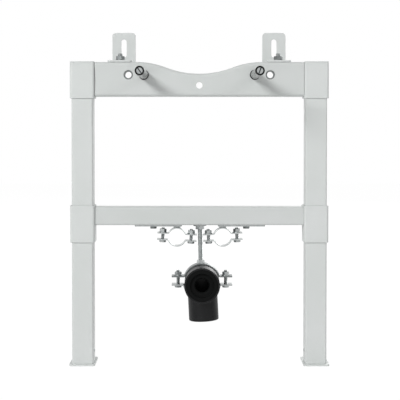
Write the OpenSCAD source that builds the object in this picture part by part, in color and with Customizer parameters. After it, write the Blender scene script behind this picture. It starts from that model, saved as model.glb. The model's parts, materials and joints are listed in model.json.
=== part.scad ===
// Installation frame for a wall hung bidet.
// Two square posts on foot plates, a pressed top rail and a crossbar between sleeves,
// wall brackets, bidet studs, two water pipe clamps and a hanging clamp for the waste elbow.
// Front of the frame towards -Y, floor at z = 0, origin under the middle of its box.

/* [Frame] */
// Width over the sleeves
frame_w = 420; // [360:5:600]
// Height of the posts' caps above the floor
frame_h = 496; // [440:1:700]
// Outside size of the square sleeves
sleeve_w = 40; // [38:1:50]
// Wall of the sleeves
sleeve_wall = 2; // [1.5:0.1:2.2]
// Length of a sleeve
sleeve_l = 60; // [56:1:90]
// Gap between a post and its sleeve, each side
post_gap = 0.5; // [0.1:0.1:0.8]
// Wall of the posts
post_wall = 1.5; // [1:0.1:2.2]
// Height of the crossbar's top above the floor
bar_top = 259.5; // [240:0.5:300]
// Outside size of the square crossbar
bar_w = 30; // [24:1:34]
// Wall of the crossbar
bar_wall = 1.5; // [1:0.1:2.5]

/* [Top rail] */
// Height of the pressed rail
rail_h = 56; // [50:1:58]
// Depth of the rail's flanges
rail_d = 38; // [30:1:40]
// Sheet thickness of the rail
rail_t = 2.5; // [1.5:0.1:3]
// Outside radius of the rail's bends
rail_bend = 5; // [3.5:0.1:6]
// How far the rail's face lies behind the sleeves' front
rail_setback = 1; // [0.5:0.1:2]
// Rail top below the caps' top
rail_drop = 1; // [0:0.1:3]
// Depth of the dip in the rail's top edge
dip_depth = 19; // [10:0.5:22]
// Half the width of the dip
dip_half_w = 102; // [90:1:106]
// Radius of the dip's bottom
dip_r = 150; // [120:5:180]
// Diameter of the small hole in the middle
centre_hole_d = 10.5; // [8:0.1:12]
// Height of the middle hole below the rail's top
centre_hole_drop = 38; // [34:0.5:44]

/* [Bidet studs] */
// Spacing of the two fitted studs
stud_spacing = 180; // [170:1:190]
// Spacing of the two spare threaded holes
spare_spacing = 230; // [220:1:236]
// Height of studs and spare holes below the rail's top
stud_drop = 21; // [18:0.5:24]
// Diameter of the threaded studs
stud_d = 12; // [10:0.5:12]
// How far the studs stand out of the rail
stud_out = 150; // [80:1:200]
// Holes in the rail's face for studs
stud_hole_d = 15; // [14:0.1:15.5]
// Wall of the plastic tube on a stud
tube_wall = 1; // [0.8:0.1:1.5]

/* [Wall brackets] */
// Width of a bracket
bracket_w = 40; // [30:1:44]
// Sheet thickness of a bracket
bracket_t = 3; // [2:0.1:4]
// Height of a bracket's upright above the rail
bracket_h = 56; // [48:1:80]
// Wall face behind the sleeves' front
wall_reach = 125; // [110:1:160]
// Half the spacing of the brackets
bracket_x = 129; // [124:1:136]
// Width of a bracket's slots
slot_w = 9; // [8.6:0.1:10]
// Length of the upright slot
wall_slot_l = 31; // [20:1:34]
// Length of the slot over the rail
leg_slot_l = 62; // [40:1:70]

/* [Feet] */
// Width of a foot plate
foot_w = 42; // [41:1:60]
// Depth of a foot plate
foot_d = 65; // [60:1:90]
// Thickness of a foot plate
foot_t = 3; // [2:0.1:6]
// Diameter of the floor bolt hole
foot_hole_d = 10; // [8:0.5:12]
// Height of the foot's stub inside the post
stub_h = 45; // [40:1:80]

/* [Water clamps] */
// Outside diameter of the water pipes
pipe_d = 28; // [22:0.5:30]
// Half the spacing of the two clamps
clamp_x = 37.5; // [37.2:0.1:40]
// Width of the clamp bands
band_w = 20; // [14:1:24]
// Thickness of the clamp bands
band_t = 1.5; // [1:0.1:2]
// Height of the boss between strap and clamp
boss_h = 2; // [1.6:0.1:4]
// Thickness of the strap plates
strap_t = 2.5; // [2:0.1:3]
// How far the clamps' ears lean
clamp_turn = 3; // [0:0.5:4]

/* [Waste clamp and elbow] */
// Outside diameter of the elbow's socket
socket_d = 57.2; // [54:0.1:60]
// Wall of the socket
socket_wall = 3.2; // [2:0.1:4]
// Outside diameter of the elbow's spigot
spigot_d = 50; // [40:0.5:50]
// Wall of the bend and spigot
spigot_wall = 1.8; // [1.5:0.1:3]
// Height of the elbow's axis above the floor
waste_z = 135.5; // [125:0.5:145]
// Height of the spigot's lower end
spigot_z = 64; // [50:0.5:70]
// Hole in the rubber seal
seal_hole_d = 22; // [18:0.5:32]
// Width of the waste clamp's band
waste_band_w = 24; // [20:1:30]
// Thickness of the waste clamp's band
waste_band_t = 2; // [1.5:0.1:3]

/* [How it hangs] */
// How far right of the middle the crossbar carries its rod and clamps
hang_shift = 1; // [0:0.5:2]
// Lean of the rod to the right
hang_lean = 1.3; // [0:0.1:2]
// How far the rod's welded nut sits left of the waste band's middle
nut_offset = 2; // [0:0.5:4]
// How far the elbow is turned in its clamp
elbow_turn = 3; // [0:0.5:6]

/* [Hidden] */
$fn = 64;

// Clearances: threads, screws through plates, and pieces slid over each other
thread_gap = 0.05;
hole_gap = 0.5;
slide_gap = 0.2;
fuse_extra = 0.02;
fuse_turn = 1;
fuse_lap = 0.1;
width_step = 2;

// Places that other sizes fix; y is counted from the sleeves' front plane
front_y = (stud_out - rail_setback - wall_reach) / 2;
post_x = (frame_w - sleeve_w) / 2;
post_w = sleeve_w - 2 * (sleeve_wall + post_gap);
post_bore = post_w - 2 * post_wall;
mid_y = sleeve_w / 2;
inner_x = frame_w / 2 - sleeve_w;
corner_r = 4;
cap_t = 3;
cap_edge = 1.5;
plug_l = 10;
plug_wall = 1.5;
plug_r = 2;
foot_rivet_z = 22.7;
foot_rivet_d = 4;
stub_wall = 2;
stub_r = 2.5;
rail_top = frame_h - rail_drop;
rail_bot = rail_top - rail_h;
stud_z = rail_top - stud_drop;
bar_bot = bar_top - bar_w;
mid_sleeve_top = bar_top + 2;
mid_sleeve_bot = mid_sleeve_top - sleeve_l;
corner_sleeve_bot = frame_h - sleeve_l;
sleeve_bolt_z = [frame_h - sleeve_l / 2, mid_sleeve_top - sleeve_l / 2];

// Hexagon sizes across the flats and heights, for M6, M8 and M12
m6 = 6;
m6_af = 10;
m6_h = 6;
m6_head = 4;
flange_t = 1.2;
m8 = 8;
m8_af = 13;
m8_h = 5.5;
m8_head = 5.3;
washer_t = 1.5;
m12_af = 18;
m12_h = 10;

// The dip's shoulder radius and slope follow from its width, depth and bottom radius
dip_angle = 2 * atan(dip_depth / dip_half_w);
shoulder_r = dip_half_w / sin(dip_angle) - dip_r;

// Width of the strips of the face that are drawn with its bends
rail_strip = 6;

// Bracket bolts and slots, studs and their rings
bracket_y = mid_y;
bracket_bolt_end = 4.5;
leg_corner = 5;
plate_corner = 6;
wall_slot_margin = 11;
stud_tip = rail_setback - stud_out;
stud_slot = 1.6;
stud_slot_turns = [55, 70];
ring_lip = 0.8;
ring_l = 6;
ring_cover = 1.3;
seat_t = 1.5;
seat_w = 2;

// Straps and clamps
strap_in = clamp_x - 8;
strap_l = 77;
strap_w = 20;
strap_corner = 3;
strap_slot_l = 20;
strap_bolt_x = clamp_x + 38.7;
strap_bolt_in = 11;
strap_bot = bar_bot - strap_t;
pipe_r = pipe_d / 2;
clamp_rm = pipe_r + band_t / 2;
clamp_z = strap_bot - boss_h - band_t - pipe_r;
clamp_half_gap = 5.2;
clamp_bolt_x = 23.3;
clamp_ear_x = 32.3;
clamp_fillet = 2.5;
ear_nut_top = clamp_half_gap + band_t / 2 + m6_h + clamp_bolt_x * sin(clamp_turn);
clamp_bolt_end = min(2, strap_bot - clamp_z - ear_nut_top - hole_gap);

// Rivet nuts in the crossbar: length, body wall, bulge and its width beyond the thread
insert_l = 13;
insert_wall = 1.5;
bulge_t = 2;
bulge_w = 5.5;

// Waste clamp and elbow
band_gap = 0.3;
socket_r = socket_d / 2;
spigot_r = min(spigot_d / 2, socket_r - 3);
waste_rm = socket_r + band_gap + waste_band_t / 2;
waste_band_r = waste_rm + waste_band_t / 2;
waste_top_gap = 9.5;
waste_bottom_gap = 4.3;
waste_bolt_x = 39;
waste_bolt_end = 2.8;
waste_ear_x = 49.5;
waste_fillet = 3;
waste_nut_h = 5;
waste_nut_foot = 1.6;
waste_x = hang_shift + (bar_bot - waste_z - waste_band_r) * tan(hang_lean) + nut_offset;
socket_front = -34;
socket_l = 72;
cone_l = 5;
bend_r = spigot_r + 5;
spigot_drop = waste_z - spigot_z;
spigot_chamfer = 1;
seal_l = 12;
seal_out = 0.8;
seal_step_r = seal_hole_d / 2 + 8;
seal_step = 5;
seal_lip = 5;
rod_top = bar_bot + 12;
lean_room = 0.4;

// A square with round corners
module round_square(w, d, r) {
    square([w - 2 * r, d], center = true);
    square([w, d - 2 * r], center = true);
    for (x = [-1, 1], y = [-1, 1])
        translate([x * (w / 2 - r), y * (d / 2 - r)]) circle(r);
}

// A square tube along Z
module square_tube(w, wall, r, l) {
    linear_extrude(l)
        difference() {
            round_square(w, w, r);
            round_square(w - 2 * wall, w - 2 * wall, max(r - wall, 0.5));
        }
}

// A slot's outline, from end to end along X
module slot_shape(l, w) {
    square([l - w, w], center = true);
    for (x = [-1, 1]) translate([x * (l - w) / 2, 0]) circle(w / 2);
}

// A plate with slots or holes upright in the XZ plane, its thickness along +Y
module upright(t) {
    rotate([90, 0, 0]) translate([0, 0, -t]) linear_extrude(t) children();
}

// A hexagon prism along Z with its corners turned down
module hexagon(af, h, turn = 0) {
    across = af / cos(30);
    cut = (across - af) / 2;
    intersection() {
        rotate([0, 0, turn]) cylinder(h = h, d = across, $fn = 6);
        rotate_extrude()
            polygon([[0, 0], [af / 2, 0], [across / 2, cut], [across / 2, h - cut],
                     [af / 2, h], [0, h]]);
    }
}

module nut(af, h, d, turn = 0) {
    difference() {
        hexagon(af, h, turn);
        translate([0, 0, -1]) cylinder(h = h + 2, d = d + 2 * thread_gap);
    }
}

// A hexagon bolt: the head's bearing face at z = 0, the shank along +Z
module bolt(af, head, d, l, turn = 0) {
    translate([0, 0, -head]) hexagon(af, head, turn);
    translate([0, 0, -head / 2]) cylinder(h = l + head / 2, d = d);
}

// Puts a piece that was drawn from the sleeves' front plane into the frame
module at_front() { translate([0, front_y, 0]) children(); }

// The right hand piece as drawn, or its mirror image on the left
module on_side(side) { at_front() mirror([side < 0 ? 1 : 0, 0, 0]) children(); }

// Both hands of a piece, in one node
module on_both() { for (side = [-1, 1]) on_side(side) children(); }

// Places something under the crossbar, which carries it a little right of the middle
module on_bar() { at_front() translate([hang_shift, 0, 0]) children(); }

// The right hand piece under the crossbar, or its mirror image
module on_bar_side(side) { on_bar() mirror([side < 0 ? 1 : 0, 0, 0]) children(); }

module on_bar_both() { for (side = [-1, 1]) on_bar_side(side) children(); }

// Height of the rail's top edge at x: the dip's bottom arc, then its shoulder arc
function edge_z(x) =
    abs(x) >= dip_half_w ? rail_top
    : abs(x) > dip_r * sin(dip_angle)
    ? rail_top - shoulder_r + sqrt(pow(shoulder_r, 2) - pow(dip_half_w - abs(x), 2))
    : rail_top - dip_depth + dip_r - sqrt(pow(dip_r, 2) - pow(x, 2));

// Flange, bend and a strip of the face, as a section: u from the edge, v backwards
module bend_section(depth) {
    translate([0, rail_bend]) square([rail_t, depth - rail_bend]);
    translate([rail_bend, 0]) square([rail_strip, rail_t]);
    translate([rail_bend, rail_bend])
        intersection() {
            difference() {
                circle(rail_bend);
                circle(rail_bend - rail_t);
            }
            translate([-rail_bend, -rail_bend]) square(rail_bend);
        }
}

// Sweeps along one arc of the top edge; inside is true where the sheet lies inside the arc
module bent_arc(r, x, z, from_angle, sweep, inside) {
    translate([x, 0, z])
        rotate([90, 0, 0])
            rotate([0, 0, from_angle])
                rotate_extrude(angle = sweep, $fn = 256)
                    translate([r, 0])
                        mirror([inside ? 1 : 0, 0])
                            mirror([0, 1]) bend_section(rail_d);
}

// A straight stretch of bent edge, from x0 to x1, below the height z
module bent_straight(x0, x1, z) {
    translate([x0, 0, z])
        rotate([90, 0, 90])
            linear_extrude(x1 - x0)
                mirror([0, 1]) rotate(90) mirror([0, 1]) bend_section(rail_d);
}

// The flat of the rail's face, up to the middle of the strips that the bends carry
module rail_face() {
    step = dip_half_w / 12;
    edge = rail_bend + rail_strip / 2;
    polygon([[inner_x, rail_bot + edge], [-inner_x, rail_bot + edge], [-inner_x, rail_top - edge],
             for (x = [-dip_half_w : step : dip_half_w + step / 2]) [x, edge_z(x) - edge],
             [inner_x, rail_top - edge]]);
}

module rail_holes() {
    for (x = [-spare_spacing, -stud_spacing, stud_spacing, spare_spacing] / 2)
        translate([x, -1, stud_z]) rotate([-90, 0, 0]) cylinder(h = rail_t + 2, d = stud_hole_d);
    translate([0, -1, rail_top - centre_hole_drop])
        rotate([-90, 0, 0]) cylinder(h = rail_t + 2, d = centre_hole_d);
    for (side = [-1, 1])
        translate([side * bracket_x, bracket_y - rail_setback, rail_top - 10])
            cylinder(h = 20, d = m8 + 2 * hole_gap);
}

module top_rail() {
    color("gainsboro")
        at_front()
            translate([0, rail_setback, 0])
                difference() {
                    union() {
                        upright(rail_t) rail_face();
                        bent_arc(dip_r, 0, rail_top - dip_depth + dip_r, 270 - dip_angle,
                                 2 * dip_angle, false);
                        for (side = [-1, 1])
                            mirror([side < 0 ? 1 : 0, 0, 0]) {
                                bent_arc(shoulder_r, dip_half_w, rail_top - shoulder_r, 90,
                                         dip_angle, true);
                                bent_straight(dip_half_w, inner_x, rail_top);
                            }
                        translate([0, 0, 2 * rail_bot])
                            mirror([0, 0, 1]) bent_straight(-inner_x, inner_x, rail_bot);
                    }
                    rail_holes();
                }
}

// Nuts welded behind the rail's face, two for the studs and two spare
module rail_nuts() {
    color("silver")
        on_both()
            for (place = [[stud_spacing / 2, stud_d], [spare_spacing / 2, 10.2]])
                translate([place[0], rail_setback + rail_t, stud_z])
                    rotate([-90, 0, 0]) nut(m12_af, m12_h, place[1], 30);
}

module post() {
    difference() {
        translate([post_x, mid_y, foot_t])
            square_tube(post_w, post_wall, corner_r - 1, frame_h - cap_t - foot_t);
        foot_rivet_cut();
    }
}

module corner_sleeve() {
    difference() {
        translate([post_x, mid_y, corner_sleeve_bot])
            square_tube(sleeve_w, sleeve_wall, corner_r, sleeve_l - cap_t);
        sleeve_bolt_hole(sleeve_bolt_z[0]);
    }
}

module mid_sleeve() {
    difference() {
        translate([post_x, mid_y, mid_sleeve_bot])
            square_tube(sleeve_w, sleeve_wall, corner_r, sleeve_l);
        sleeve_bolt_hole(sleeve_bolt_z[1]);
    }
}

module sleeve_bolt_hole(z) {
    translate([post_x, sleeve_w - sleeve_wall - 1, z])
        rotate([-90, 0, 0]) cylinder(h = sleeve_wall + 2, d = m8 + 2 * thread_gap);
}

// The closed top of a post: a plate with soft edges over a plug inside the tube
module sleeve_cap() {
    translate([post_x, mid_y, frame_h - cap_t]) {
        soft_plate(sleeve_w, corner_r, cap_edge, cap_t);
        translate([0, 0, -plug_l])
            square_tube(post_bore - 2 * slide_gap, plug_wall, plug_r, plug_l);
    }
}

module soft_plate(w, r, edge, t) {
    for (a = [0 : 90 : 270])
        rotate([0, 0, a]) {
            translate([w / 2 - r, w / 2 - r, 0]) rotate_extrude() soft_section(r, edge, t);
            translate([w / 2 - r, w / 2 - r, 0])
                rotate([90, 0, 0]) linear_extrude(w - 2 * r) soft_section(r, edge, t);
        }
    translate([-w / 2 + r, -w / 2 + r, 0]) cube([w - 2 * r, w - 2 * r, t]);
}

module soft_section(r, edge, t) {
    square([r, t - edge]);
    square([r - edge, t]);
    translate([r - edge, t - edge])
        intersection() {
            circle(edge);
            square(edge);
        }
}

module sleeve_nuts() {
    color("silver")
        on_both()
            for (z = sleeve_bolt_z)
                translate([post_x, sleeve_w, z]) rotate([-90, 0, 0]) nut(m8_af, m8_h, m8);
}

// Set bolts that lock the sleeves on the posts from behind
module sleeve_bolts() {
    bolt_back = 2;
    shank = m8_h + bolt_back + sleeve_wall + post_gap - slide_gap / 2;
    color("silver")
        on_both()
            for (z = sleeve_bolt_z)
                translate([post_x, sleeve_w + m8_h + bolt_back, z])
                    rotate([90, 0, 0]) bolt(m8_af, m8_head, m8, shank, 30);
}

module crossbar() {
    color("gainsboro")
        at_front()
            difference() {
                translate([-inner_x, mid_y, bar_bot + bar_w / 2])
                    rotate([90, 0, 90]) square_tube(bar_w, bar_wall, corner_r - 1, 2 * inner_x);
                for (side = [-1, 1])
                    translate([hang_shift + side * strap_bolt_x, mid_y, bar_bot]) insert_hole(m6);
                translate([hang_shift, mid_y, bar_bot]) rotate([0, -hang_lean, 0]) insert_hole(m8);
            }
}

module insert_hole(d) {
    translate([0, 0, -1])
        cylinder(h = bar_wall + 2, d = d + 2 * insert_wall + 2 * slide_gap);
}

// The rod leans about the place where it enters the bar
module leaning() {
    on_bar()
        translate([0, mid_y, bar_bot])
            rotate([0, -hang_lean, 0]) translate([0, 0, -bar_bot]) children();
}

// A rivet nut: its body in the wall's hole, its bulge on the wall inside
module insert(d) {
    difference() {
        union() {
            translate([0, 0, lean_room]) cylinder(h = insert_l, d = d + 2 * insert_wall);
            translate([0, 0, bar_wall + lean_room]) cylinder(h = bulge_t, d = d + bulge_w);
        }
        translate([0, 0, -1]) cylinder(h = insert_l + 2, d = d + 2 * thread_gap);
    }
}

module bar_inserts() {
    color("silver") {
        on_bar_both() translate([strap_bolt_x, mid_y, bar_bot]) insert(m6);
        leaning() translate([0, 0, bar_bot]) insert(m8);
    }
}

// Foot plate with a floor bolt hole behind the post and a stub inside it
module foot() {
    foot_front = -1;
    foot_out = 1;
    hole_y = (foot_front + foot_d + mid_y + post_w / 2) / 2;
    difference() {
        translate([post_x + foot_out, foot_front + foot_d / 2, 0])
            linear_extrude(foot_t) round_square(foot_w, foot_d, corner_r);
        translate([post_x, hole_y, -1]) cylinder(h = foot_t + 2, d = foot_hole_d);
    }
    difference() {
        translate([post_x, mid_y, foot_t])
            square_tube(post_bore - 2 * post_gap, stub_wall, stub_r, stub_h);
        foot_rivet_cut();
    }
}

module foot_rivet_cut() {
    translate([post_x - post_w / 2 - 1, mid_y, foot_rivet_z])
        rotate([0, 90, 0])
            cylinder(h = post_wall + post_gap + stub_wall + 2, d = foot_rivet_d + 2 * slide_gap);
}

module foot_rivets() {
    head_t = 1.3;
    color("silver")
        on_both()
            translate([post_x - post_w / 2, mid_y, foot_rivet_z])
                rotate([0, 90, 0]) {
                    cylinder(h = 6, d = foot_rivet_d);
                    translate([0, 0, -head_t]) cylinder(h = head_t, d1 = 4, d2 = 6);
                }
}

// A wall bracket: leg over the rail, bend, and upright plate with its slot
module wall_bracket() {
    leg_front = rail_setback + 2;
    bend_out = 6;
    bend_in = bend_out - bracket_t;
    leg_l = wall_reach - bend_out - leg_front;
    slot_front = bracket_y - m8;
    slot_z = rail_top + bracket_h - wall_slot_margin - wall_slot_l / 2;
    translate([bracket_x, leg_front + leg_l / 2, rail_top])
        linear_extrude(bracket_t)
            difference() {
                leg_outline(bracket_w, leg_l, leg_corner);
                translate([0, slot_front + leg_slot_l / 2 - leg_front - leg_l / 2])
                    rotate(90) slot_shape(leg_slot_l, slot_w);
            }
    translate([bracket_x - bracket_w / 2, wall_reach - bend_out, rail_top + bend_out])
        rotate([90, 0, 90])
            linear_extrude(bracket_w)
                intersection() {
                    difference() {
                        circle(bend_out);
                        circle(bend_in);
                    }
                    translate([0, -bend_out]) square(bend_out);
                }
    translate([bracket_x, wall_reach - bracket_t, rail_top + (bracket_h + bend_out) / 2])
        upright(bracket_t)
            difference() {
                leg_outline(bracket_w, bracket_h - bend_out, plate_corner, true);
                translate([0, slot_z - rail_top - (bracket_h + bend_out) / 2])
                    rotate(90) slot_shape(wall_slot_l, slot_w);
            }
}

// A rectangle with two round corners, at its lower edge or at its upper edge
module leg_outline(w, l, r, upper = false) {
    mirror([0, upper ? 1 : 0]) {
        translate([-w / 2, -l / 2 + r]) square([w, l - r]);
        translate([-w / 2 + r, -l / 2]) square([w - 2 * r, l]);
        for (x = [-1, 1]) translate([x * (w / 2 - r), -l / 2 + r]) circle(r);
    }
}

module bracket_bolts() {
    shank = rail_t + bracket_t + washer_t + m8_h + bracket_bolt_end;
    color("silver")
        on_both()
            translate([bracket_x, bracket_y, rail_top - rail_t])
                bolt(m8_af, m8_head, m8, shank, 15);
}

// Nut and washer on each bracket bolt
module bracket_nuts() {
    color("silver")
        on_both()
            translate([bracket_x, bracket_y, rail_top + bracket_t]) {
                difference() {
                    cylinder(h = washer_t, d = 2 * m8);
                    translate([0, 0, -1]) cylinder(h = 5, d = m8 + 2 * thread_gap);
                }
                translate([0, 0, washer_t]) nut(m8_af, m8_h, m8, 10);
            }
}

// A threaded stud through the rail's hole into its nut, with a driver slot in its end
module stud(slot_turn) {
    back = rail_setback + rail_t + m12_h + 2;
    tip = stud_tip + ring_lip;
    translate([stud_spacing / 2, 0, stud_z])
        difference() {
            translate([0, tip, 0]) rotate([-90, 0, 0]) {
                cylinder(h = back - tip - 1, d = stud_d);
                translate([0, 0, back - tip - 1])
                    cylinder(h = 1, d1 = stud_d, d2 = stud_d - 2);
            }
            translate([0, tip, 0])
                rotate([0, -slot_turn, 0])
                    cube([stud_d + 2, 2 * stud_slot, stud_slot], center = true);
        }
}

module stud_tube() {
    ring_pipe(stud_tip + ring_l, rail_setback - seat_t, stud_d / 2 + slide_gap,
              stud_d / 2 + slide_gap + tube_wall);
}

// A pipe round the stud from y0 to y1
module ring_pipe(y0, y1, r_in, r_out) {
    translate([stud_spacing / 2, y0, stud_z])
        rotate([-90, 0, 0])
            difference() {
                cylinder(h = y1 - y0, r = r_out);
                translate([0, 0, -1]) cylinder(h = y1 - y0 + 2, r = r_in);
            }
}

module stud_end_rings() {
    r_in = stud_d / 2 + slide_gap;
    color("black")
        on_both() {
            ring_pipe(stud_tip + ring_lip, stud_tip + ring_l, r_in, r_in + tube_wall);
            ring_pipe(stud_tip, stud_tip + ring_lip, stud_d / 2 - ring_cover, r_in + tube_wall);
        }
}

module stud_seat_rings() {
    r_in = stud_d / 2 + slide_gap;
    color("black") on_both() ring_pipe(rail_setback - seat_t, rail_setback, r_in, r_in + seat_w);
}

// A strap under the crossbar: a slot for its bolt and a hole for the clamp's boss
module strap() {
    difference() {
        translate([strap_in + strap_l / 2, mid_y, strap_bot])
            linear_extrude(strap_t) round_square(strap_l, strap_w, strap_corner);
        translate([strap_bolt_x, mid_y, strap_bot - 1])
            linear_extrude(strap_t + 2) slot_shape(strap_slot_l, m6 + 2 * hole_gap);
        translate([clamp_x, mid_y, strap_bot - 1])
            cylinder(h = strap_t + 2, d = m6 + 2 * slide_gap);
    }
}

module strap_bolts() {
    color("silver")
        on_bar_both()
            translate([strap_bolt_x, mid_y, strap_bot])
                bolt(m6_af, m6_head, m6, strap_t + strap_bolt_in, 20);
}

// Half a pipe clamp along Y: a main arc, two fillets and two ears, made of sheet t.
// The pieces are drawn too wide by different steps, so that one cut makes their flat sides.
// The fillets are a hair thicker and run a little into the arc and ears, which fuses them.
module clamp_half(rm, t, gap, fillet, ear_x, bolt_x, w, bolt_d) {
    fillet_z = gap + fillet;
    fillet_x = sqrt(pow(rm + fillet, 2) - pow(fillet_z, 2));
    meet = atan2(fillet_z, fillet_x);
    difference() {
        intersection() {
            union() {
                bent_sheet(rm, t, w + width_step, meet, 180 - meet);
                for (side = [-1, 1])
                    mirror([side < 0 ? 1 : 0, 0, 0]) {
                        translate([fillet_x, 0, fillet_z])
                            bent_sheet(fillet, t + fuse_extra, w + 2 * width_step,
                                       180 + meet - fuse_turn, 270);
                        translate([fillet_x - fuse_lap, -w / 2 - 1.5 * width_step, gap - t / 2])
                            cube([ear_x - fillet_x + fuse_lap, w + 3 * width_step, t]);
                    }
            }
            translate([-ear_x - 1, -w / 2, 0]) cube([2 * ear_x + 2, w, rm + t + 1]);
        }
        for (x = [-bolt_x, bolt_x])
            translate([x, 0, gap - t / 2 - 1]) cylinder(h = t + 2, d = bolt_d + hole_gap);
    }
}

// Sheet t of the width w, bent about Y to the middle radius r, from angle a to angle b
module bent_sheet(r, t, w, a, b) {
    rotate([90, 0, 0])
        rotate([0, 0, a])
            rotate_extrude(angle = b - a) translate([r - t / 2, -w / 2]) square([t, w]);
}

// Places something in a water clamp's own frame, its ears leaning a little
module in_clamp() {
    translate([clamp_x, mid_y, clamp_z]) rotate([0, -clamp_turn, 0]) children();
}

module clamp_top() {
    in_clamp()
        clamp_half(clamp_rm, band_t, clamp_half_gap, clamp_fillet, clamp_ear_x, clamp_bolt_x,
                   band_w, m6);
}

module clamp_bottom() {
    in_clamp()
        mirror([0, 0, 1])
            clamp_half(clamp_rm, band_t, clamp_half_gap, clamp_fillet, clamp_ear_x,
                       clamp_bolt_x, band_w, m6);
}

// A hexagon boss welded on the clamp, riveted through the strap
module clamp_bosses() {
    foot = 1.2;
    color("silver")
        on_bar_both()
            difference() {
                translate([clamp_x, mid_y, strap_bot - boss_h - foot]) {
                    hexagon(m6_af, boss_h + foot);
                    cylinder(h = boss_h + foot + strap_t - 0.1, d = m6);
                }
                translate([clamp_x, mid_y + strap_w, clamp_z])
                    rotate([90, 0, 0]) cylinder(h = 2 * strap_w, r = clamp_rm + band_t / 2 + 0.1);
            }
}

// Bolts through a clamp's ears: heads under the lower ears, nuts on the upper ears
module ear_bolts(x, low_gap, top_gap, t, end) {
    for (side = [-1, 1])
        translate([side * x, 0, -low_gap - t / 2])
            bolt(m6_af, m6_head, m6, low_gap + top_gap + t + m6_h + end, 10);
}

module ear_nuts(x, top_gap, t) {
    for (side = [-1, 1])
        translate([side * x, 0, top_gap + t / 2])
            difference() {
                union() {
                    cylinder(h = flange_t, d = m6_af + 3);
                    translate([0, 0, flange_t / 2]) hexagon(m6_af, m6_h - flange_t / 2, 10);
                }
                translate([0, 0, -1]) cylinder(h = m6_h + 2, d = m6 + 2 * thread_gap);
            }
}

module clamp_bolts() {
    color("silver")
        on_bar_both()
            in_clamp()
                ear_bolts(clamp_bolt_x, clamp_half_gap, clamp_half_gap, band_t, clamp_bolt_end);
}

module clamp_nuts() {
    color("silver") on_bar_both() in_clamp() ear_nuts(clamp_bolt_x, clamp_half_gap, band_t);
}

// Places something on the waste pipe's axis, level with the crossbar's middle
module in_waste() { at_front() translate([waste_x, mid_y, waste_z]) children(); }

module hanger_rod() {
    bottom = waste_z + waste_band_r + band_gap;
    color("silver")
        leaning() translate([0, 0, bottom]) cylinder(h = rod_top - bottom, d = m8);
}

// Washer and nut that lock the rod under the crossbar
module hanger_nut() {
    color("silver")
        leaning() translate([0, 0, bar_bot - lean_room]) {
            translate([0, 0, -washer_t])
                difference() {
                    cylinder(h = washer_t, d = 22);
                    translate([0, 0, -1]) cylinder(h = washer_t + 2, d = m8 + 2 * thread_gap);
                }
            translate([0, 0, -washer_t - m8_h]) nut(m8_af, m8_h, m8, 20);
        }
}

// The upper band with the nut that is welded on it for the rod
module waste_clamp_top() {
    color("silver") {
        in_waste()
            clamp_half(waste_rm, waste_band_t, waste_top_gap, waste_fillet, waste_ear_x,
                       waste_bolt_x, waste_band_w, m6);
        difference() {
            leaning()
                translate([0, 0, waste_z + waste_band_r - waste_nut_foot])
                    nut(m8_af - 2, waste_nut_h + waste_nut_foot, m8);
            in_waste()
                translate([0, waste_band_w, 0])
                    rotate([90, 0, 0]) cylinder(h = 2 * waste_band_w, r = waste_band_r - 0.3);
        }
    }
}

module waste_clamp_bottom() {
    color("silver")
        in_waste()
            mirror([0, 0, 1])
                clamp_half(waste_rm, waste_band_t, waste_bottom_gap, waste_fillet, waste_ear_x,
                           waste_bolt_x, waste_band_w, m6);
}

module waste_clamp_bolts() {
    color("silver")
        in_waste()
            ear_bolts(waste_bolt_x, waste_bottom_gap, waste_top_gap, waste_band_t,
                      waste_bolt_end);
}

module waste_clamp_nuts() {
    color("silver") in_waste() ear_nuts(waste_bolt_x, waste_top_gap, waste_band_t);
}

// Places something on the elbow's axis, turned in its clamp
module in_elbow() {
    at_front() translate([waste_x, 0, waste_z]) rotate([0, -elbow_turn, 0]) children();
}

// The elbow's outside, or its inside with the walls taken off: socket, cone, bend, spigot
module elbow_form(inside) {
    bend_y = socket_front + socket_l + cone_l;
    wide = socket_r - (inside ? socket_wall : 0);
    narrow = spigot_r - (inside ? spigot_wall : 0);
    over = inside ? 1 : 0;
    translate([0, socket_front - over, 0])
        rotate([-90, 0, 0]) cylinder(h = socket_l + over, r = wide);
    translate([0, socket_front + socket_l, 0])
        rotate([-90, 0, 0]) cylinder(h = cone_l, r1 = wide, r2 = narrow);
    translate([0, bend_y, -bend_r])
        rotate([0, -90, 0])
            rotate_extrude(angle = 90) translate([bend_r, 0]) circle(narrow);
    translate([0, bend_y + bend_r, -spigot_drop])
        if (inside) {
            translate([0, 0, -1]) cylinder(h = spigot_drop - bend_r + 1, r = narrow);
        } else {
            translate([0, 0, spigot_chamfer])
                cylinder(h = spigot_drop - bend_r - spigot_chamfer, r = narrow);
            cylinder(h = spigot_chamfer, r1 = narrow - spigot_chamfer, r2 = narrow);
        }
}

module waste_elbow() {
    color("#222222")
        in_elbow()
            difference() {
                elbow_form(false);
                elbow_form(true);
            }
}

// Rubber reducer in the elbow's mouth: a rim, a step and a lip round the hole
module elbow_seal() {
    r = socket_r - socket_wall - slide_gap;
    hole = seal_hole_d / 2;
    color("#111111")
        in_elbow()
            translate([0, socket_front - seal_out, 0])
                rotate([-90, 0, 0])
                    rotate_extrude()
                        polygon([[r, 0], [r, seal_l], [hole, seal_l], [hole, seal_l - seal_lip],
                                 [hole + 2, seal_step], [seal_step_r - 1, seal_step],
                                 [seal_step_r, seal_step - 1], [seal_step_r, 1],
                                 [seal_step_r + 1, 0]]);
}

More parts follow.
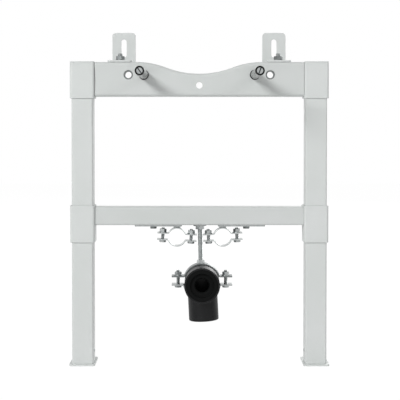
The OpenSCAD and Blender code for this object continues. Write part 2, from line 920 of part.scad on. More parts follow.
top_rail();
rail_nuts();
color("gainsboro") on_side(-1) post();  // left_post
color("gainsboro") on_side(1) post();  // right_post
color("gainsboro") on_side(-1) corner_sleeve();  // left_corner_sleeve
color("gainsboro") on_side(1) corner_sleeve();  // right_corner_sleeve
color("gainsboro") on_side(-1) mid_sleeve();  // left_mid_sleeve
color("gainsboro") on_side(1) mid_sleeve();  // right_mid_sleeve
color("gainsboro") on_side(-1) sleeve_cap();  // left_sleeve_cap
color("gainsboro") on_side(1) sleeve_cap();  // right_sleeve_cap
sleeve_nuts();
sleeve_bolts();
crossbar();
bar_inserts();
color("gainsboro") on_side(-1) foot();  // left_foot
color("gainsboro") on_side(1) foot();  // right_foot
foot_rivets();
color("gainsboro") on_side(-1) wall_bracket();  // left_wall_bracket
color("gainsboro") on_side(1) wall_bracket();  // right_wall_bracket
bracket_bolts();
bracket_nuts();
color("silver") on_side(-1) stud(stud_slot_turns[0]);  // left_stud
color("silver") on_side(1) stud(stud_slot_turns[1]);  // right_stud
color("darkgray") on_side(-1) stud_tube();  // left_stud_tube
color("darkgray") on_side(1) stud_tube();  // right_stud_tube
stud_end_rings();
stud_seat_rings();
color("silver") on_bar_side(-1) strap();  // left_strap
color("silver") on_bar_side(1) strap();  // right_strap
strap_bolts();
color("silver") on_bar_side(-1) clamp_top();  // left_clamp_top
color("silver") on_bar_side(1) clamp_top();  // right_clamp_top
color("silver") on_bar_side(-1) clamp_bottom();  // left_clamp_bottom
color("silver") on_bar_side(1) clamp_bottom();  // right_clamp_bottom
clamp_bosses();
clamp_bolts();
clamp_nuts();
hanger_rod();
hanger_nut();
waste_clamp_top();
waste_clamp_bottom();
waste_clamp_bolts();
waste_clamp_nuts();
waste_elbow();
elbow_seal();
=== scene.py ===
# %% [markdown]
# # Installation frame for a wall hung bidet
# The frame is made of square steel tube and one pressed rail, then powder coated light
# grey. Zinc plated hardware hangs under its crossbar. The exact shapes come from the
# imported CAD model, which this script loads as a fixed frame. Here they get soft edges,
# threads, weld beads and finishes, then light and a camera.

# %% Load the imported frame
import json
import math

import bmesh
import bpy
from mathutils import Matrix, Vector, noise


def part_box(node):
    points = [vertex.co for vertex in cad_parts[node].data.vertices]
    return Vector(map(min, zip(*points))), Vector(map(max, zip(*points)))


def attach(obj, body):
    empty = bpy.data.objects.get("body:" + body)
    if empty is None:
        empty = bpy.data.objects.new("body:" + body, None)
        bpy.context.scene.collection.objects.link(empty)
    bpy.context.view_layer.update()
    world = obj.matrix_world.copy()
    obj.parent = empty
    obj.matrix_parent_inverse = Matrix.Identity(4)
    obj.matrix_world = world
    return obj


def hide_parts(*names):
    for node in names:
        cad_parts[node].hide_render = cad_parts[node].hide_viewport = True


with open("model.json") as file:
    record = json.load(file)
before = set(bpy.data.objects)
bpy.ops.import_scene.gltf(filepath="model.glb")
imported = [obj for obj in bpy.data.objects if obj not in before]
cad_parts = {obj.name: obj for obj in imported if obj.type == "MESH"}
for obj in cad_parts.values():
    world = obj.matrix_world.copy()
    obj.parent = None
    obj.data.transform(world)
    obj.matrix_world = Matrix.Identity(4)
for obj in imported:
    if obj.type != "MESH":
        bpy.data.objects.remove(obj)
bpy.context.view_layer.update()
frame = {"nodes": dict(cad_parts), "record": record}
nodes = frame["nodes"]

# %% [markdown]
# Places in this script are read from the CAD nodes' boxes, so the pieces made here follow
# the model. Standard thread sizes, edge widths and the photograph's viewing place are
# written as numbers.

# %% Places read from the CAD model
MM = 0.001
sleeve_low, sleeve_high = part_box("right_corner_sleeve")
rail_low, rail_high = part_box("top_rail")
bar_low, bar_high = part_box("crossbar")
front_y = sleeve_low.y
inner_x = sleeve_low.x
print("sleeve fronts at y =", round(front_y / MM, 2), "mm; rail between x = +-", round(inner_x / MM, 2))

# %% [markdown]
# ## Camera
# The photograph was taken from 1.9 m in front of the frame with a long lens. Lines that
# run backwards meet a little left of the middle and high up, so the lens stood about
# 0.39 m above the floor, below the top rail. A sensor shift keeps the posts upright, as
# in the photograph, and a slight downward pitch does the rest.

# %% Camera
PHOTO_SIDE = 400
CAMERA_DISTANCE = 1.9
PIXELS_PER_METRE = 617.0
MEETING_X, MEETING_Y = 194.0, 124.0
FRAME_MIDDLE_PX = 199.3
FLOOR_PX = 367.3
SHIFT_Y = -0.1155

focal_px = PIXELS_PER_METRE * CAMERA_DISTANCE
camera_data = bpy.data.cameras.new("camera")
camera_data.sensor_width = 36.0
camera_data.lens = focal_px / PHOTO_SIDE * camera_data.sensor_width
camera_data.shift_x = (PHOTO_SIDE / 2 - MEETING_X) / PHOTO_SIDE
camera_data.shift_y = SHIFT_Y
camera_data.clip_start = 0.05
camera = bpy.data.objects.new("camera", camera_data)
bpy.context.scene.collection.objects.link(camera)
bpy.context.scene.camera = camera
camera.location = (
    (MEETING_X - FRAME_MIDDLE_PX) / PIXELS_PER_METRE,
    front_y - CAMERA_DISTANCE,
    (FLOOR_PX - MEETING_Y) / PIXELS_PER_METRE,
)
pitch = math.atan((PHOTO_SIDE / 2 - MEETING_Y) / focal_px + SHIFT_Y * PHOTO_SIDE / focal_px)
camera.rotation_euler = (math.pi / 2 - pitch, 0, 0)
print("camera at", [round(v, 3) for v in camera.location], "pitch", round(math.degrees(pitch), 2))

# %% [markdown]
# ## Node helper and colours
# Every finish is a small node tree. One function adds a node, gives it its settings and
# links its inputs. Colours are written as sRGB hex, as a paint shop would note them.

# %% Helpers for materials
def linear(hex_colour):
    """Turns an sRGB hex colour into Blender's linear RGBA."""
    channels = [int(hex_colour[i:i + 2], 16) / 255 for i in (1, 3, 5)]
    return [c / 12.92 if c <= 0.04045 else ((c + 0.055) / 1.055) ** 2.4 for c in channels] + [1.0]


def add(tree, kind, inputs=None, **settings):
    """Adds a node. Inputs are values, or sockets that get linked."""
    node = tree.nodes.new(kind)
    for name, value in settings.items():
        setattr(node, name, value)
    for name, value in (inputs or {}).items():
        if isinstance(value, bpy.types.NodeSocket):
            tree.links.new(value, node.inputs[name])
        else:
            node.inputs[name].default_value = value
    return node


def new_material(name):
    """An empty material: its tree, its shader and the object's own coordinates."""
    material = bpy.data.materials.new(name)
    material.use_nodes = True
    tree = material.node_tree
    tree.nodes.clear()
    shader = add(tree, "ShaderNodeBsdfPrincipled")
    add(tree, "ShaderNodeOutputMaterial", {"Surface": shader.outputs[0]})
    place = add(tree, "ShaderNodeTexCoord").outputs["Object"]
    return material, tree, shader, place


def per_metre(size_mm):
    """The noise scale whose patches are about size_mm across."""
    return 1.0 / (size_mm * MM)


def ramp(tree, factor, low, high):
    """Two colours blended by a factor between 0 and 1."""
    return add(tree, "ShaderNodeMix", {"Factor": factor, "A": linear(low), "B": linear(high)},
               data_type="RGBA").outputs["Result"]


def spread(tree, value, low, high, start=0.3, end=0.7):
    """Maps a noise value onto the range from low to high."""
    return add(tree, "ShaderNodeMapRange",
               {"Value": value, "From Min": start, "From Max": end, "To Min": low, "To Max": high}).outputs[0]

# %% [markdown]
# ## Powder coat
# The frame's tubes are sprayed with polyester powder and baked. The melted film has a
# satin gloss and a faint orange peel of waves a millimetre or two across, and its shade
# drifts a little from place to place. Noise at two sizes gives the peel. The rail and the
# crossbar come from another batch, a touch darker. A dark strip of painted shade lies on
# the left sleeve's wall just inside the rail's open left end, so the wavy gap there shows
# as a dark line. That strip fades out on the object's own coordinates.

# %% Powder coat
def powder_coat(name, low, high, painted_shade_mask=None):
    """The coat. Where the given mask is 1, a dark painted shade covers it."""
    material, tree, shader, place = new_material(name)
    drift = add(tree, "ShaderNodeTexNoise", {"Vector": place, "Scale": per_metre(90), "Detail": 2.0})
    shader_colour = ramp(tree, spread(tree, drift.outputs["Fac"], 0, 1), low, high)
    if painted_shade_mask:
        # Painted shade: a near black colour laid over the coat where the mask is 1.
        shade_mix = add(tree, "ShaderNodeMix", {"Factor": painted_shade_mask(tree, place), "A": shader_colour,
                                            "B": linear("#2C2E2F")}, data_type="RGBA")
        shader_colour = shade_mix.outputs["Result"]
    tree.links.new(shader_colour, shader.inputs["Base Color"])
    haze = add(tree, "ShaderNodeTexNoise", {"Vector": place, "Scale": per_metre(14), "Detail": 3.0})
    tree.links.new(spread(tree, haze.outputs["Fac"], 0.36, 0.48), shader.inputs["Roughness"])
    peel = add(tree, "ShaderNodeTexNoise", {"Vector": place, "Scale": per_metre(2.2), "Detail": 1.0})
    grain = add(tree, "ShaderNodeTexNoise", {"Vector": place, "Scale": per_metre(0.5), "Detail": 1.0})
    height = add(tree, "ShaderNodeMath", {0: grain.outputs["Fac"], 1: 0.2, 2: peel.outputs["Fac"]},
                 operation="MULTIPLY_ADD")
    bump = add(tree, "ShaderNodeBump", {"Height": height.outputs[0], "Distance": 0.03 * MM, "Strength": 0.6})
    tree.links.new(bump.outputs[0], shader.inputs["Normal"])
    shader.inputs["IOR"].default_value = 1.5
    return material


def painted_gap_shade_mask(tree, place):
    """1 on the strip of painted shade on the left sleeve's wall inside the rail's open end, else 0."""
    part = add(tree, "ShaderNodeSeparateXYZ", {"Vector": place}).outputs
    mask = None
    for axis, start, end in (("X", -inner_x - 0.5 * MM, -inner_x - 0.2 * MM),
                             ("Y", rail_low.y, rail_low.y + 0.4 * MM),
                             ("Y", rail_low.y + 30 * MM, rail_low.y + 16 * MM),
                             ("Z", rail_low.z - 0.5 * MM, rail_low.z + 1.5 * MM)):
        step = spread(tree, part[axis], 0, 1, start, end)
        mask = add(tree, "ShaderNodeMath", {0: mask, 1: step}, operation="MULTIPLY").outputs[0] if mask else step
    return mask


coat = powder_coat("polyester_powder_coat_light_grey", "#D3D7D5", "#D8DBDA")
cross_coat = powder_coat("polyester_powder_coat_cross_members", "#CDD1CF", "#D2D5D4")
# This coat carries a dark strip of painted shade in the gap at the rail's left end.
coat_with_painted_gap_shade = powder_coat("polyester_powder_coat_with_painted_gap_shade", "#D3D7D5", "#D8DBDA", painted_gap_shade_mask)
print("made", coat.name, cross_coat.name, coat_with_painted_gap_shade.name)

# %% [markdown]
# ## Zinc plate
# Bolts, nuts, straps and clamp bands are steel with a few microns of bright zinc. The
# crystals scatter light, so it is a grey metal of middling roughness with cloudy
# patches. It is a metal, so its IOR keeps the default. Batches differ: the water clamps
# and the rod look pale, the bracket nuts, the strap bolts and the upper waste band
# darker. The rail's nuts sit behind the rail's holes and get the darker zinc as painted
# shade for those holes. The stud's milled driver slot gets a near black colour as
# painted shade in the slot.

# %% Zinc plate
def zinc_plate(name, low, high, rough_low, rough_high):
    material, tree, shader, place = new_material(name)
    cloud = add(tree, "ShaderNodeTexNoise", {"Vector": place, "Scale": per_metre(7), "Detail": 4.0})
    colour = ramp(tree, spread(tree, cloud.outputs["Fac"], 0, 1), low, high)
    tree.links.new(colour, shader.inputs["Base Color"])
    crystal = add(tree, "ShaderNodeTexNoise", {"Vector": place, "Scale": per_metre(0.9), "Detail": 3.0})
    tree.links.new(spread(tree, crystal.outputs["Fac"], rough_low, rough_high),
                   shader.inputs["Roughness"])
    bump = add(tree, "ShaderNodeBump", {"Height": crystal.outputs["Fac"], "Distance": 0.04 * MM,
                                        "Strength": 0.5})
    tree.links.new(bump.outputs[0], shader.inputs["Normal"])
    shader.inputs["Metallic"].default_value = 1.0
    return material


zinc = zinc_plate("bright_zinc_plate", "#9EA2A3", "#B4B7B6", 0.24, 0.42)
zinc_pale = zinc_plate("fresh_pale_zinc_plate", "#B0B4B4", "#C6C9C8", 0.3, 0.48)
# The darker zinc also stands on the rail's nuts as painted shade for the holes they sit in.
dark_zinc_and_painted_hole_shade = zinc_plate("dull_dark_zinc_plate_and_painted_hole_shade", "#6C7071", "#848887", 0.3, 0.46)
# Near black colour for the stud's driver slot, as painted shade in the slot.
slot_painted_shade = zinc_plate("near_black_painted_slot_shade", "#34373A", "#45484A", 0.4, 0.55)
print("made", zinc.name, zinc_pale.name, dark_zinc_and_painted_hole_shade.name, slot_painted_shade.name)

# %% [markdown]
# ## See-through tube
# A thin extruded PVC tube covers each stud and keeps the ceramic off the thread. It is
# smoky and slightly hazy. Extrusion draws fine lines along it.

# %% Tube plastic
def tube_plastic():
    material, tree, shader, place = new_material("extruded_soft_pvc_smoke_grey")
    stretched = add(tree, "ShaderNodeMapping", {"Vector": place, "Scale": (1.0, 0.03, 1.0)})
    lines = add(tree, "ShaderNodeTexNoise",
                {"Vector": stretched.outputs[0], "Scale": per_metre(0.6), "Detail": 2.0})
    tree.links.new(ramp(tree, spread(tree, lines.outputs["Fac"], 0, 1), "#8F9290", "#9DA09E"),
                   shader.inputs["Base Color"])
    tree.links.new(spread(tree, lines.outputs["Fac"], 0.16, 0.28), shader.inputs["Roughness"])
    bump = add(tree, "ShaderNodeBump", {"Height": lines.outputs["Fac"], "Distance": 0.02 * MM,
                                        "Strength": 0.4})
    tree.links.new(bump.outputs[0], shader.inputs["Normal"])
    shader.inputs["IOR"].default_value = 1.52
    shader.inputs["Transmission Weight"].default_value = 0.7
    return material


tube = tube_plastic()
print("made", tube.name)

# %% [markdown]
# ## Black plastics and rubber
# The stud's rings are moulded polyamide, the elbow is polyethylene with carbon black
# and its seal is EPDM rubber. All three are nearly black. They differ in gloss: the
# elbow is satin with a soft flow haze, the rings are a little shinier, and the rubber
# is dull with a fine bloom. A matt mould and worn tooling keep their shine below that
# of polished plastic, so the specular level is lowered.

# %% Black plastics and rubber
def black_plastic(name, low, high, rough_low, rough_high, grain_mm, ior, gloss):
    material, tree, shader, place = new_material(name)
    haze = add(tree, "ShaderNodeTexNoise", {"Vector": place, "Scale": per_metre(18), "Detail": 3.0})
    tree.links.new(ramp(tree, spread(tree, haze.outputs["Fac"], 0, 1), low, high),
                   shader.inputs["Base Color"])
    tree.links.new(spread(tree, haze.outputs["Fac"], rough_low, rough_high),
                   shader.inputs["Roughness"])
    grain = add(tree, "ShaderNodeTexNoise", {"Vector": place, "Scale": per_metre(grain_mm), "Detail": 2.0})
    bump = add(tree, "ShaderNodeBump", {"Height": grain.outputs["Fac"], "Distance": 0.03 * MM,
                                        "Strength": 0.5})
    tree.links.new(bump.outputs[0], shader.inputs["Normal"])
    shader.inputs["IOR"].default_value = ior
    shader.inputs["Specular IOR Level"].default_value = gloss
    return material


ring_black = black_plastic("moulded_polyamide_black", "#070808", "#0D0E0E", 0.3, 0.4, 0.8, 1.53, 0.2)
elbow_black = black_plastic("carbon_black_polyethylene", "#0B0C0D", "#121314", 0.36, 0.5, 1.2, 1.51, 0.22)
rubber_black = black_plastic("epdm_rubber_black", "#050606", "#0A0B0B", 0.55, 0.72, 0.6, 1.47, 0.1)
print("made", ring_black.name, elbow_black.name, rubber_black.name)

# %% [markdown]
# ## From CAD node to finished piece
# A CAD solid has knife edges, and real sheet, tube and moulded parts don't. Cut tube is
# deburred and the powder flows round its edges, so each edge shows a thin highlight.
# A bevel modifier could do that, but it also rounds the facets of curved faces. So the
# mesh is merged first, its flat faces are joined, and only edges that turn sharply are
# bevelled. Each finished piece stands exactly where its node is and replaces it.

# %% Helpers for meshes
MERGE_GAP = 0.02 * MM
FLAT_ANGLE = math.radians(0.5)
SHARP_ANGLE = math.radians(28)
CREASE_ANGLE = math.radians(50)


def merged_copy(name, hidden=None):
    """A node's mesh with its loose triangles merged and its flat faces joined."""
    shape = bmesh.new()
    shape.from_mesh(nodes[name].data)
    if hidden:
        bmesh.ops.delete(shape, geom=[face for face in shape.faces if hidden(face)], context="FACES")
    bmesh.ops.remove_doubles(shape, verts=shape.verts, dist=MERGE_GAP)
    loose = [edge for edge in shape.edges if not edge.link_faces]
    bmesh.ops.delete(shape, geom=loose, context="EDGES")
    bmesh.ops.dissolve_limit(shape, angle_limit=FLAT_ANGLE, verts=shape.verts, edges=shape.edges)
    return shape


def soften(shape, width):
    """Rounds every sharp edge of a closed shape by a small width."""
    sharp = [edge for edge in shape.edges
             if len(edge.link_faces) == 2 and edge.calc_face_angle() > SHARP_ANGLE]
    bmesh.ops.bevel(shape, geom=sharp, offset=width, offset_type="OFFSET", segments=2, profile=0.5,
                    affect="EDGES", clamp_overlap=False, material=-1)


def finish_piece(shape, name, material, replaced=None):
    """Makes the shape a smooth shaded piece of the frame, in place of its node."""
    for face in shape.faces:
        face.smooth = True
    for edge in shape.edges:
        edge.smooth = len(edge.link_faces) == 2 and edge.calc_face_angle() < CREASE_ANGLE
    open_edges = sum(len(edge.link_faces) != 2 for edge in shape.edges)
    mesh = bpy.data.meshes.new(name)
    shape.to_mesh(mesh)
    shape.free()
    mesh.materials.append(material)
    piece = bpy.data.objects.new(name, mesh)
    bpy.context.scene.collection.objects.link(piece)
    even = piece.modifiers.new("even_shading", "WEIGHTED_NORMAL")
    even.keep_sharp = True
    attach(piece, "root")
    if replaced:
        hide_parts(replaced)
    print(name, "faces", len(mesh.polygons), "open edges", open_edges)
    return piece

# %% [markdown]
# ## Finishes and edge widths
# The record says for each CAD node which finish it has. The edge width follows how the
# part is made: coated tube and moulded plastic are rounder than nuts and thin bands.

# %% Finish and edge width for each slot
FINISHES = {
    "powder_coat": (coat, 0.4), "zinc_plate": (zinc, 0.16), "tube_plastic": (tube, 0.15),
    "black_plastic": (ring_black, 0.2), "elbow_plastic": (elbow_black, 0.45),
    "seal_rubber": (rubber_black, 0.4),
}
slot_of = {row["node"]: row["material_slot"] for row in frame["record"]["subparts"]}
print({slot: sum(s == slot for s in slot_of.values()) for slot in FINISHES})

# %% [markdown]
# ## Top rail
# The rail is one pressed channel. Where the dip's arcs meet, the CAD solid keeps a cut
# thinner than a hair across the sheet, which the real rail doesn't have, so the faces
# inside that cut are left out before the mesh is merged. The rail's left end was cut
# unevenly and leaves a wavy dark gap at the sleeve, widest beside the middle of its face.
# The end is sliced into steps and its edge is moved back by a millimetre or so.

# %% Top rail with its uneven left end
DIP_DEPTH, DIP_HALF_WIDTH = 19.0, 102.0
SEAM_FROM, SEAM_TO = 50 * MM, 60 * MM
END_LENGTH = 4 * MM
GAP_WIDEST, GAP_LEAST, GAP_WAVE = 1.35 * MM, 0.25 * MM, 0.35 * MM
seam_slope = 2 * math.atan(DIP_DEPTH / DIP_HALF_WIDTH)


def inside_seam(face):
    """True for a face inside the thin cut where two arcs of the dip meet."""
    along = abs(abs(face.normal.x) - math.cos(seam_slope)) < 0.01
    return along and abs(face.normal.y) < 0.02 and SEAM_FROM < abs(face.calc_center_median().x) < SEAM_TO


def uneven_end(shape):
    """Moves the rail's left end back from the sleeve by a wavy amount."""
    def end_parts():
        verts = [v for v in shape.verts if v.co.x < -inner_x + END_LENGTH + MERGE_GAP]
        edges = {e for v in verts for e in v.link_edges}
        faces = {f for v in verts for f in v.link_faces}
        return verts + list(edges) + list(faces)

    bmesh.ops.bisect_plane(shape, geom=shape.verts[:] + shape.edges[:] + shape.faces[:], dist=MERGE_GAP,
                           plane_co=(-inner_x + END_LENGTH, 0, 0), plane_no=(1, 0, 0))
    steps = 17
    for step in range(1, steps):
        height = rail_low.z + (rail_high.z - rail_low.z) * step / steps
        bmesh.ops.bisect_plane(shape, geom=end_parts(), dist=MERGE_GAP, plane_co=(0, 0, height),
                               plane_no=(0, 0, 1))
    for vert in shape.verts:
        if vert.co.x < -inner_x + MERGE_GAP:
            share = (vert.co.z - rail_low.z) / (rail_high.z - rail_low.z)
            swell = max(0.0, math.sin(math.pi * min(1.0, share * 1.12)))
            wave = noise.noise(Vector((0, 0, vert.co.z * per_metre(9))))
            vert.co.x += GAP_LEAST + GAP_WIDEST * swell ** 0.6 + GAP_WAVE * wave * swell


rail = merged_copy("top_rail", inside_seam)
uneven_end(rail)
soften(rail, 0.4 * MM)
finish_piece(rail, "pressed_top_rail", cross_coat, "top_rail")

# %% [markdown]
# ## Screws with rolled threads
# Thread rolling leaves a helical ridge. It is made as a screw cutter would see it: the
# profile of one pitch is spun round the axis once and moved along by one pitch. That
# turn is doubled until it is long enough, the turns are merged where they meet, and the
# two ends are cut flat, closed and chamfered.
# A noise bump would only fake the ridge, and the photograph shows the rod's thread
# outline.

# %% Thread helper
TURN_STEPS = 24
THREAD_DEPTH = 0.5413
ROOT_FLAT, CREST_FLAT = 0.25, 0.125
LEAD_IN = 2.03


def add_thread(shape, start, axis, radius, pitch, length, tip_chamfer):
    """Adds a threaded shank that runs from start along axis to shape."""
    root = radius - THREAD_DEPTH * pitch
    flank = (1 - ROOT_FLAT - CREST_FLAT) / 2 * pitch
    profile = [(root, 0), (root, ROOT_FLAT * pitch), (radius, ROOT_FLAT * pitch + flank),
               (radius, pitch - flank), (root, pitch)]
    thread = bmesh.new()
    corners = [thread.verts.new((across, 0, along - LEAD_IN * pitch)) for across, along in profile]
    edges = [thread.edges.new(pair) for pair in zip(corners, corners[1:])]
    bmesh.ops.spin(thread, geom=corners + edges, cent=(0, 0, 0), axis=(0, 0, 1),
                   dvec=(0, 0, pitch / TURN_STEPS), angle=math.tau, steps=TURN_STEPS)
    turns = 1
    while turns * pitch < length + LEAD_IN * pitch:
        more = bmesh.ops.duplicate(thread, geom=thread.verts[:] + thread.edges[:] + thread.faces[:])["geom"]
        bmesh.ops.translate(thread, verts=[item for item in more if isinstance(item, bmesh.types.BMVert)],
                            vec=(0, 0, turns * pitch))
        turns *= 2
    bmesh.ops.remove_doubles(thread, verts=thread.verts, dist=MERGE_GAP / 2)
    for height, way in ((0, -1), (length, 1)):
        cut = bmesh.ops.bisect_plane(thread, geom=thread.verts[:] + thread.edges[:] + thread.faces[:],
                                     dist=MERGE_GAP / 10, plane_co=(0, 0, height), plane_no=(0, 0, way),
                                     clear_outer=True)
        rim = [item for item in cut["geom_cut"] if isinstance(item, bmesh.types.BMEdge)]
        bmesh.ops.edgeloop_fill(thread, edges=rim)
    for vert in thread.verts:
        across = math.hypot(vert.co.x, vert.co.y)
        most = radius - max(0.0, vert.co.z - (length - tip_chamfer))
        if across > most:
            vert.co.x *= most / across
            vert.co.y *= most / across
    bmesh.ops.recalc_face_normals(thread, faces=thread.faces)
    turn = Vector((0, 0, 1)).rotation_difference(axis).to_matrix().to_4x4()
    bmesh.ops.transform(thread, matrix=Matrix.Translation(start) @ turn, verts=thread.verts)
    finished = bpy.data.meshes.new("thread")
    thread.to_mesh(finished)
    thread.free()
    shape.from_mesh(finished)
    bpy.data.meshes.remove(finished)

# %% [markdown]
# The bolts keep their hexagon heads from the CAD model. Each bolt's axis is read from
# its own mesh: the largest flat face that looks away from the shank is the head's end.
# The shank is cut off at the head's bearing face and a threaded one takes its place.

# %% Bolt helpers
def loose_parts(shape):
    """The vertices of each separate solid in a shape."""
    waiting = set(shape.verts)
    parts = []
    while waiting:
        reached = [waiting.pop()]
        for vert in reached:
            for edge in vert.link_edges:
                other = edge.other_vert(vert)
                if other in waiting:
                    waiting.remove(other)
                    reached.append(other)
        parts.append(reached)
    return parts


def head_end(part, towards):
    """The middle of the largest flat face that looks against a direction, and the axis."""
    faces = {face for vert in part for face in vert.link_faces if face.normal.dot(towards) < -0.9}
    largest = max(faces, key=lambda face: face.calc_area())
    return largest.calc_center_median_weighted(), -largest.normal


def threaded_bolts(name, towards, radius, pitch, tip_chamfer):
    """A node's bolts with their own heads and new threaded shanks."""
    shape = merged_copy(name)
    threads = []
    for part in loose_parts(shape):
        end, axis = head_end(part, towards)
        reach = [((vert.co - end).dot(axis), vert) for vert in part]
        far = [along for along, vert in reach if (vert.co - end - axis * along).length > radius + 0.6 * MM]
        head, length = max(far), max(along for along, vert in reach)
        edges = {edge for vert in part for edge in vert.link_edges}
        faces = {face for vert in part for face in vert.link_faces}
        bmesh.ops.bisect_plane(shape, geom=part + list(edges) + list(faces), dist=MERGE_GAP,
                               plane_co=end + axis * head, plane_no=axis, clear_outer=True)
        threads.append((end + axis * (head - radius / 8), axis, length - head + radius / 8))
    rims = [edge for edge in shape.edges if len(edge.link_faces) == 1]
    bmesh.ops.edgeloop_fill(shape, edges=rims)
    bmesh.ops.recalc_face_normals(shape, faces=shape.faces)
    soften(shape, FINISHES["zinc_plate"][1] * MM)
    for start, axis, length in threads:
        add_thread(shape, start, axis, radius, pitch, length, tip_chamfer)
    return shape

# %% [markdown]
# Bolt by bolt: M8 for brackets and sleeves, M6 for straps and clamps. The sleeve bolts
# point forwards, all others upwards.

# %% Bolts
UP, FORWARDS = Vector((0, 0, 1)), Vector((0, -1, 0))
M6, M8, M12 = (3 * MM, 1.0 * MM), (4 * MM, 1.25 * MM), (6 * MM, 1.75 * MM)
for name, towards, size in (("bracket_bolts", UP, M8), ("strap_bolts", UP, M6), ("clamp_bolts", UP, M6),
                            ("waste_clamp_bolts", UP, M6), ("sleeve_bolts", FORWARDS, M8)):
    shape = threaded_bolts(name, towards, *size, tip_chamfer=0.6 * MM)
    batch = dark_zinc_and_painted_hole_shade if name == "strap_bolts" else zinc
    finish_piece(shape, "threaded_" + name, batch, name)

# %% [markdown]
# The hanger rod is cut from threaded bar, so it has no head and is threaded all along.
# It leans a little, and its axis is read from its lower end.

# %% Hanger rod
shape = merged_copy("hanger_rod")
part = shape.verts[:]
end, axis = head_end(part, UP)
length = max((vert.co - end).dot(axis) for vert in part)
shape.clear()
add_thread(shape, end, axis, *M8, length, tip_chamfer=0.6 * MM)
finish_piece(shape, "threaded_hanger_rod", zinc_pale, "hanger_rod")

# %% [markdown]
# The studs are M12. A driver slot is milled across the front end, which the ring frames
# in the photograph, so the CAD model's front end is kept and the thread starts behind
# it. The slot's bottom and sides are coloured near black as painted shade in the slot.

# %% Studs
SLOTTED_END, SLOT_EDGE, SLOT_FLOOR, SLOT_REACH = 2.2 * MM, 0.1 * MM, 1.8 * MM, 5.5 * MM
for name in ("left_stud", "right_stud"):
    low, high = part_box(name)
    middle = (low + high) / 2
    shape = merged_copy(name)
    bmesh.ops.bisect_plane(shape, geom=shape.verts[:] + shape.edges[:] + shape.faces[:],
                           dist=MERGE_GAP / 10, plane_co=(0, low.y + SLOTTED_END, 0),
                           plane_no=(0, 1, 0), clear_outer=True)
    rims = [edge for edge in shape.edges if len(edge.link_faces) == 1]
    bmesh.ops.edgeloop_fill(shape, edges=rims)
    bmesh.ops.recalc_face_normals(shape, faces=shape.faces)
    soften(shape, FINISHES["zinc_plate"][1] * MM)
    # Faces inside the slot get the second material, a painted shade.
    for face in shape.faces:
        spot = face.calc_center_median()
        within = math.hypot(spot.x - middle.x, spot.z - middle.z) < SLOT_REACH
        face.material_index = int(within and low.y + SLOT_EDGE < spot.y < low.y + SLOT_FLOOR)
    start = Vector((middle.x, low.y + SLOTTED_END - 0.2 * MM, middle.z))
    add_thread(shape, start, Vector((0, 1, 0)), *M12, high.y - start.y, tip_chamfer=1.0 * MM)
    piece = finish_piece(shape, "threaded_" + name, zinc, name)
    piece.data.materials.append(slot_painted_shade)

# %% [markdown]
# ## All other parts
# The posts, sleeves, straps, bands, nuts, caps, rings, elbow and seal need only their
# soft edges and their finish, or that of their batch. The nut welded on the upper waste
# band is as pale as the rod.

# %% Soft edged parts
# The left corner sleeve takes the coat with the painted gap shade.
# The rail's nuts get the darker zinc as painted shade for the holes they sit in.
BATCHES = {
    "left_clamp_top": zinc_pale, "right_clamp_top": zinc_pale, "left_clamp_bottom": zinc_pale,
    "right_clamp_bottom": zinc_pale, "bracket_nuts": dark_zinc_and_painted_hole_shade, "waste_clamp_top": dark_zinc_and_painted_hole_shade,
    "rail_nuts": dark_zinc_and_painted_hole_shade, "crossbar": cross_coat, "left_corner_sleeve": coat_with_painted_gap_shade,
}
WELD_NUT_REACH = 12 * MM
weld_nut_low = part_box("waste_clamp_top")[1].z - 5.2 * MM
done = {"top_rail", "hanger_rod", "left_stud", "right_stud", "bracket_bolts", "strap_bolts",
        "clamp_bolts", "waste_clamp_bolts", "sleeve_bolts"}
for name in nodes:
    if name not in done:
        material, width = FINISHES[slot_of[name]]
        shape = merged_copy(name)
        soften(shape, width * MM)
        piece = finish_piece(shape, "finished_" + name, BATCHES.get(name, material), name)
        if name == "waste_clamp_top":
            piece.data.materials.append(zinc_pale)
            for face in piece.data.polygons:
                face.material_index = int(face.center.z > weld_nut_low and abs(face.center.x) < WELD_NUT_REACH)

# %% [markdown]
# ## Weld beads
# The crossbar and the rail are welded to their sleeves from behind and below, and the
# beads are coated with the rest. The crossbar's beads are made here. A bead is a row of
# frozen ripples. Its round section is extruded step by step along the joint, a little
# fatter and thinner in turn, and both ends taper shut. Most of the section sinks into the
# two parts, and a fillet shows.

# %% Weld beads
RIPPLE = 1.3 * MM


def weld_bead(name, start, end, radius):
    """A rippled bead along the line from start to end."""
    start, end = Vector(start), Vector(end)
    axis = (end - start).normalized()
    steps = round((end - start).length / RIPPLE) * 2
    shape = bmesh.new()
    turn = Vector((0, 0, 1)).rotation_difference(axis).to_matrix().to_4x4()
    ring = bmesh.ops.create_circle(shape, cap_ends=False, segments=12, radius=radius,
                                   matrix=Matrix.Translation(start) @ turn)["verts"]
    size = 1.0
    edges = list({edge for vert in ring for edge in vert.link_edges})
    for step in range(steps + 1):
        at = start + (end - start) * step / steps
        taper = min(1.0, 0.45 + 0.3 * min(step, steps - step))
        drift = noise.noise(at * per_metre(4)) * 0.12
        wanted = taper * (1.0 + (0.1 if step % 2 else -0.06) + drift)
        if step:
            grown = bmesh.ops.extrude_edge_only(shape, edges=edges)["geom"]
            ring = [item for item in grown if isinstance(item, bmesh.types.BMVert)]
            edges = [item for item in grown if isinstance(item, bmesh.types.BMEdge)]
            bmesh.ops.translate(shape, verts=ring, vec=(end - start) / steps)
        bmesh.ops.scale(shape, verts=ring, vec=(wanted / size,) * 3,
                        space=Matrix.Translation(-at))
        size = wanted
    bmesh.ops.holes_fill(shape, edges=[edge for edge in shape.edges if len(edge.link_faces) == 1])
    bmesh.ops.recalc_face_normals(shape, faces=shape.faces)
    finish_piece(shape, name, coat)


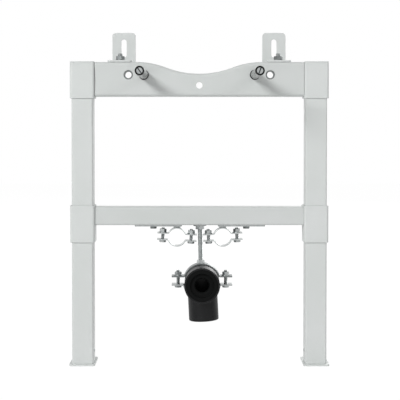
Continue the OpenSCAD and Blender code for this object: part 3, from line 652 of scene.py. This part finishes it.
BEAD = 1.7 * MM
INSET = 4 * MM
for side, label in ((-1, "left"), (1, "right")):
    x = side * inner_x
    weld_bead(f"{label}_crossbar_back_bead", (x, bar_high.y, bar_low.z + INSET),
              (x, bar_high.y, bar_high.z - INSET), BEAD)
    weld_bead(f"{label}_crossbar_top_bead", (x, bar_low.y + 2 * INSET, bar_high.z),
              (x, bar_high.y - INSET, bar_high.z), BEAD)
    weld_bead(f"{label}_crossbar_bottom_bead", (x, bar_low.y + 2 * INSET, bar_low.z),
              (x, bar_high.y - INSET, bar_low.z), BEAD)

# %% [markdown]
# ## Floor, backdrop light and lamps
# The product stands in a white studio. The floor and the world look white to the camera,
# to reflections and to anything seen through the tubes, and only a small share of the
# floor takes a shadow. A large lamp at the upper left makes the main shadows and a
# weaker one at the upper right fills them. A third lamp lights the back, which the
# photograph doesn't show.

# %% Studio
def pale_floor():
    material, tree, shader, place = new_material("white_studio_floor")
    output = next(n for n in tree.nodes if n.type == "OUTPUT_MATERIAL")
    path = add(tree, "ShaderNodeLightPath")
    seen = add(tree, "ShaderNodeMath", {0: path.outputs["Is Camera Ray"], 1: path.outputs["Is Glossy Ray"]},
               operation="MAXIMUM")
    seen = add(tree, "ShaderNodeMath", {0: seen.outputs[0], 1: path.outputs["Is Transmission Ray"]},
               operation="MAXIMUM")
    share = add(tree, "ShaderNodeMath", {0: seen.outputs[0], 1: 0.92}, operation="MULTIPLY")
    white = add(tree, "ShaderNodeEmission", {"Color": linear("#FFFFFF"), "Strength": 1.05})
    shader.inputs["Base Color"].default_value = linear("#F6F6F6")
    shader.inputs["Roughness"].default_value = 0.8
    shader.inputs["Specular IOR Level"].default_value = 0.1
    mixed = add(tree, "ShaderNodeMixShader", {0: share.outputs[0], 1: shader.outputs[0], 2: white.outputs[0]})
    tree.links.new(mixed.outputs[0], output.inputs["Surface"])
    return material


FLOOR_SIDE = 12.0
floor_mesh = bpy.data.meshes.new("studio_floor")
shape = bmesh.new()
bmesh.ops.create_grid(shape, x_segments=1, y_segments=1, size=FLOOR_SIDE / 2)
shape.to_mesh(floor_mesh)
shape.free()
floor = bpy.data.objects.new("studio_floor", floor_mesh)
floor.data.materials.append(pale_floor())
bpy.context.scene.collection.objects.link(floor)

world = bpy.data.worlds.new("white_studio")
bpy.context.scene.world = world
world.use_nodes = True
tree = world.node_tree
tree.nodes.clear()
path = add(tree, "ShaderNodeLightPath")
seen = add(tree, "ShaderNodeMath", {0: path.outputs["Is Camera Ray"], 1: path.outputs["Is Glossy Ray"]},
           operation="MAXIMUM")
seen = add(tree, "ShaderNodeMath", {0: seen.outputs[0], 1: path.outputs["Is Transmission Ray"]},
           operation="MAXIMUM")
FILL_LIGHT = 0.29
strength = add(tree, "ShaderNodeMapRange", {"Value": seen.outputs[0], "To Min": FILL_LIGHT, "To Max": 1.0})
background = add(tree, "ShaderNodeBackground", {"Color": linear("#FFFFFF"), "Strength": strength.outputs[0]})
add(tree, "ShaderNodeOutputWorld", {"Surface": background.outputs[0]})


def softbox(name, place, aim, side, watts):
    """A square area lamp at a place, turned to face the point it lights."""
    lamp = bpy.data.lights.new(name, "AREA")
    lamp.shape = "SQUARE"
    lamp.size = side
    lamp.energy = watts
    item = bpy.data.objects.new(name, lamp)
    item.location = place
    item.rotation_euler = (Vector(aim) - Vector(place)).to_track_quat("-Z", "Y").to_euler()
    bpy.context.scene.collection.objects.link(item)


softbox("main_softbox", (-2.85, -4.35, 2.84), (0, 0, 0.3), 1.5, 184)
softbox("second_softbox", (2.5, -2.5, 2.3), (0, 0, 0.3), 1.4, 16)
softbox("back_softbox", (1.4, 3.2, 1.7), (0, 0, 0.3), 1.6, 50)
bpy.context.scene.view_settings.view_transform = "Standard"
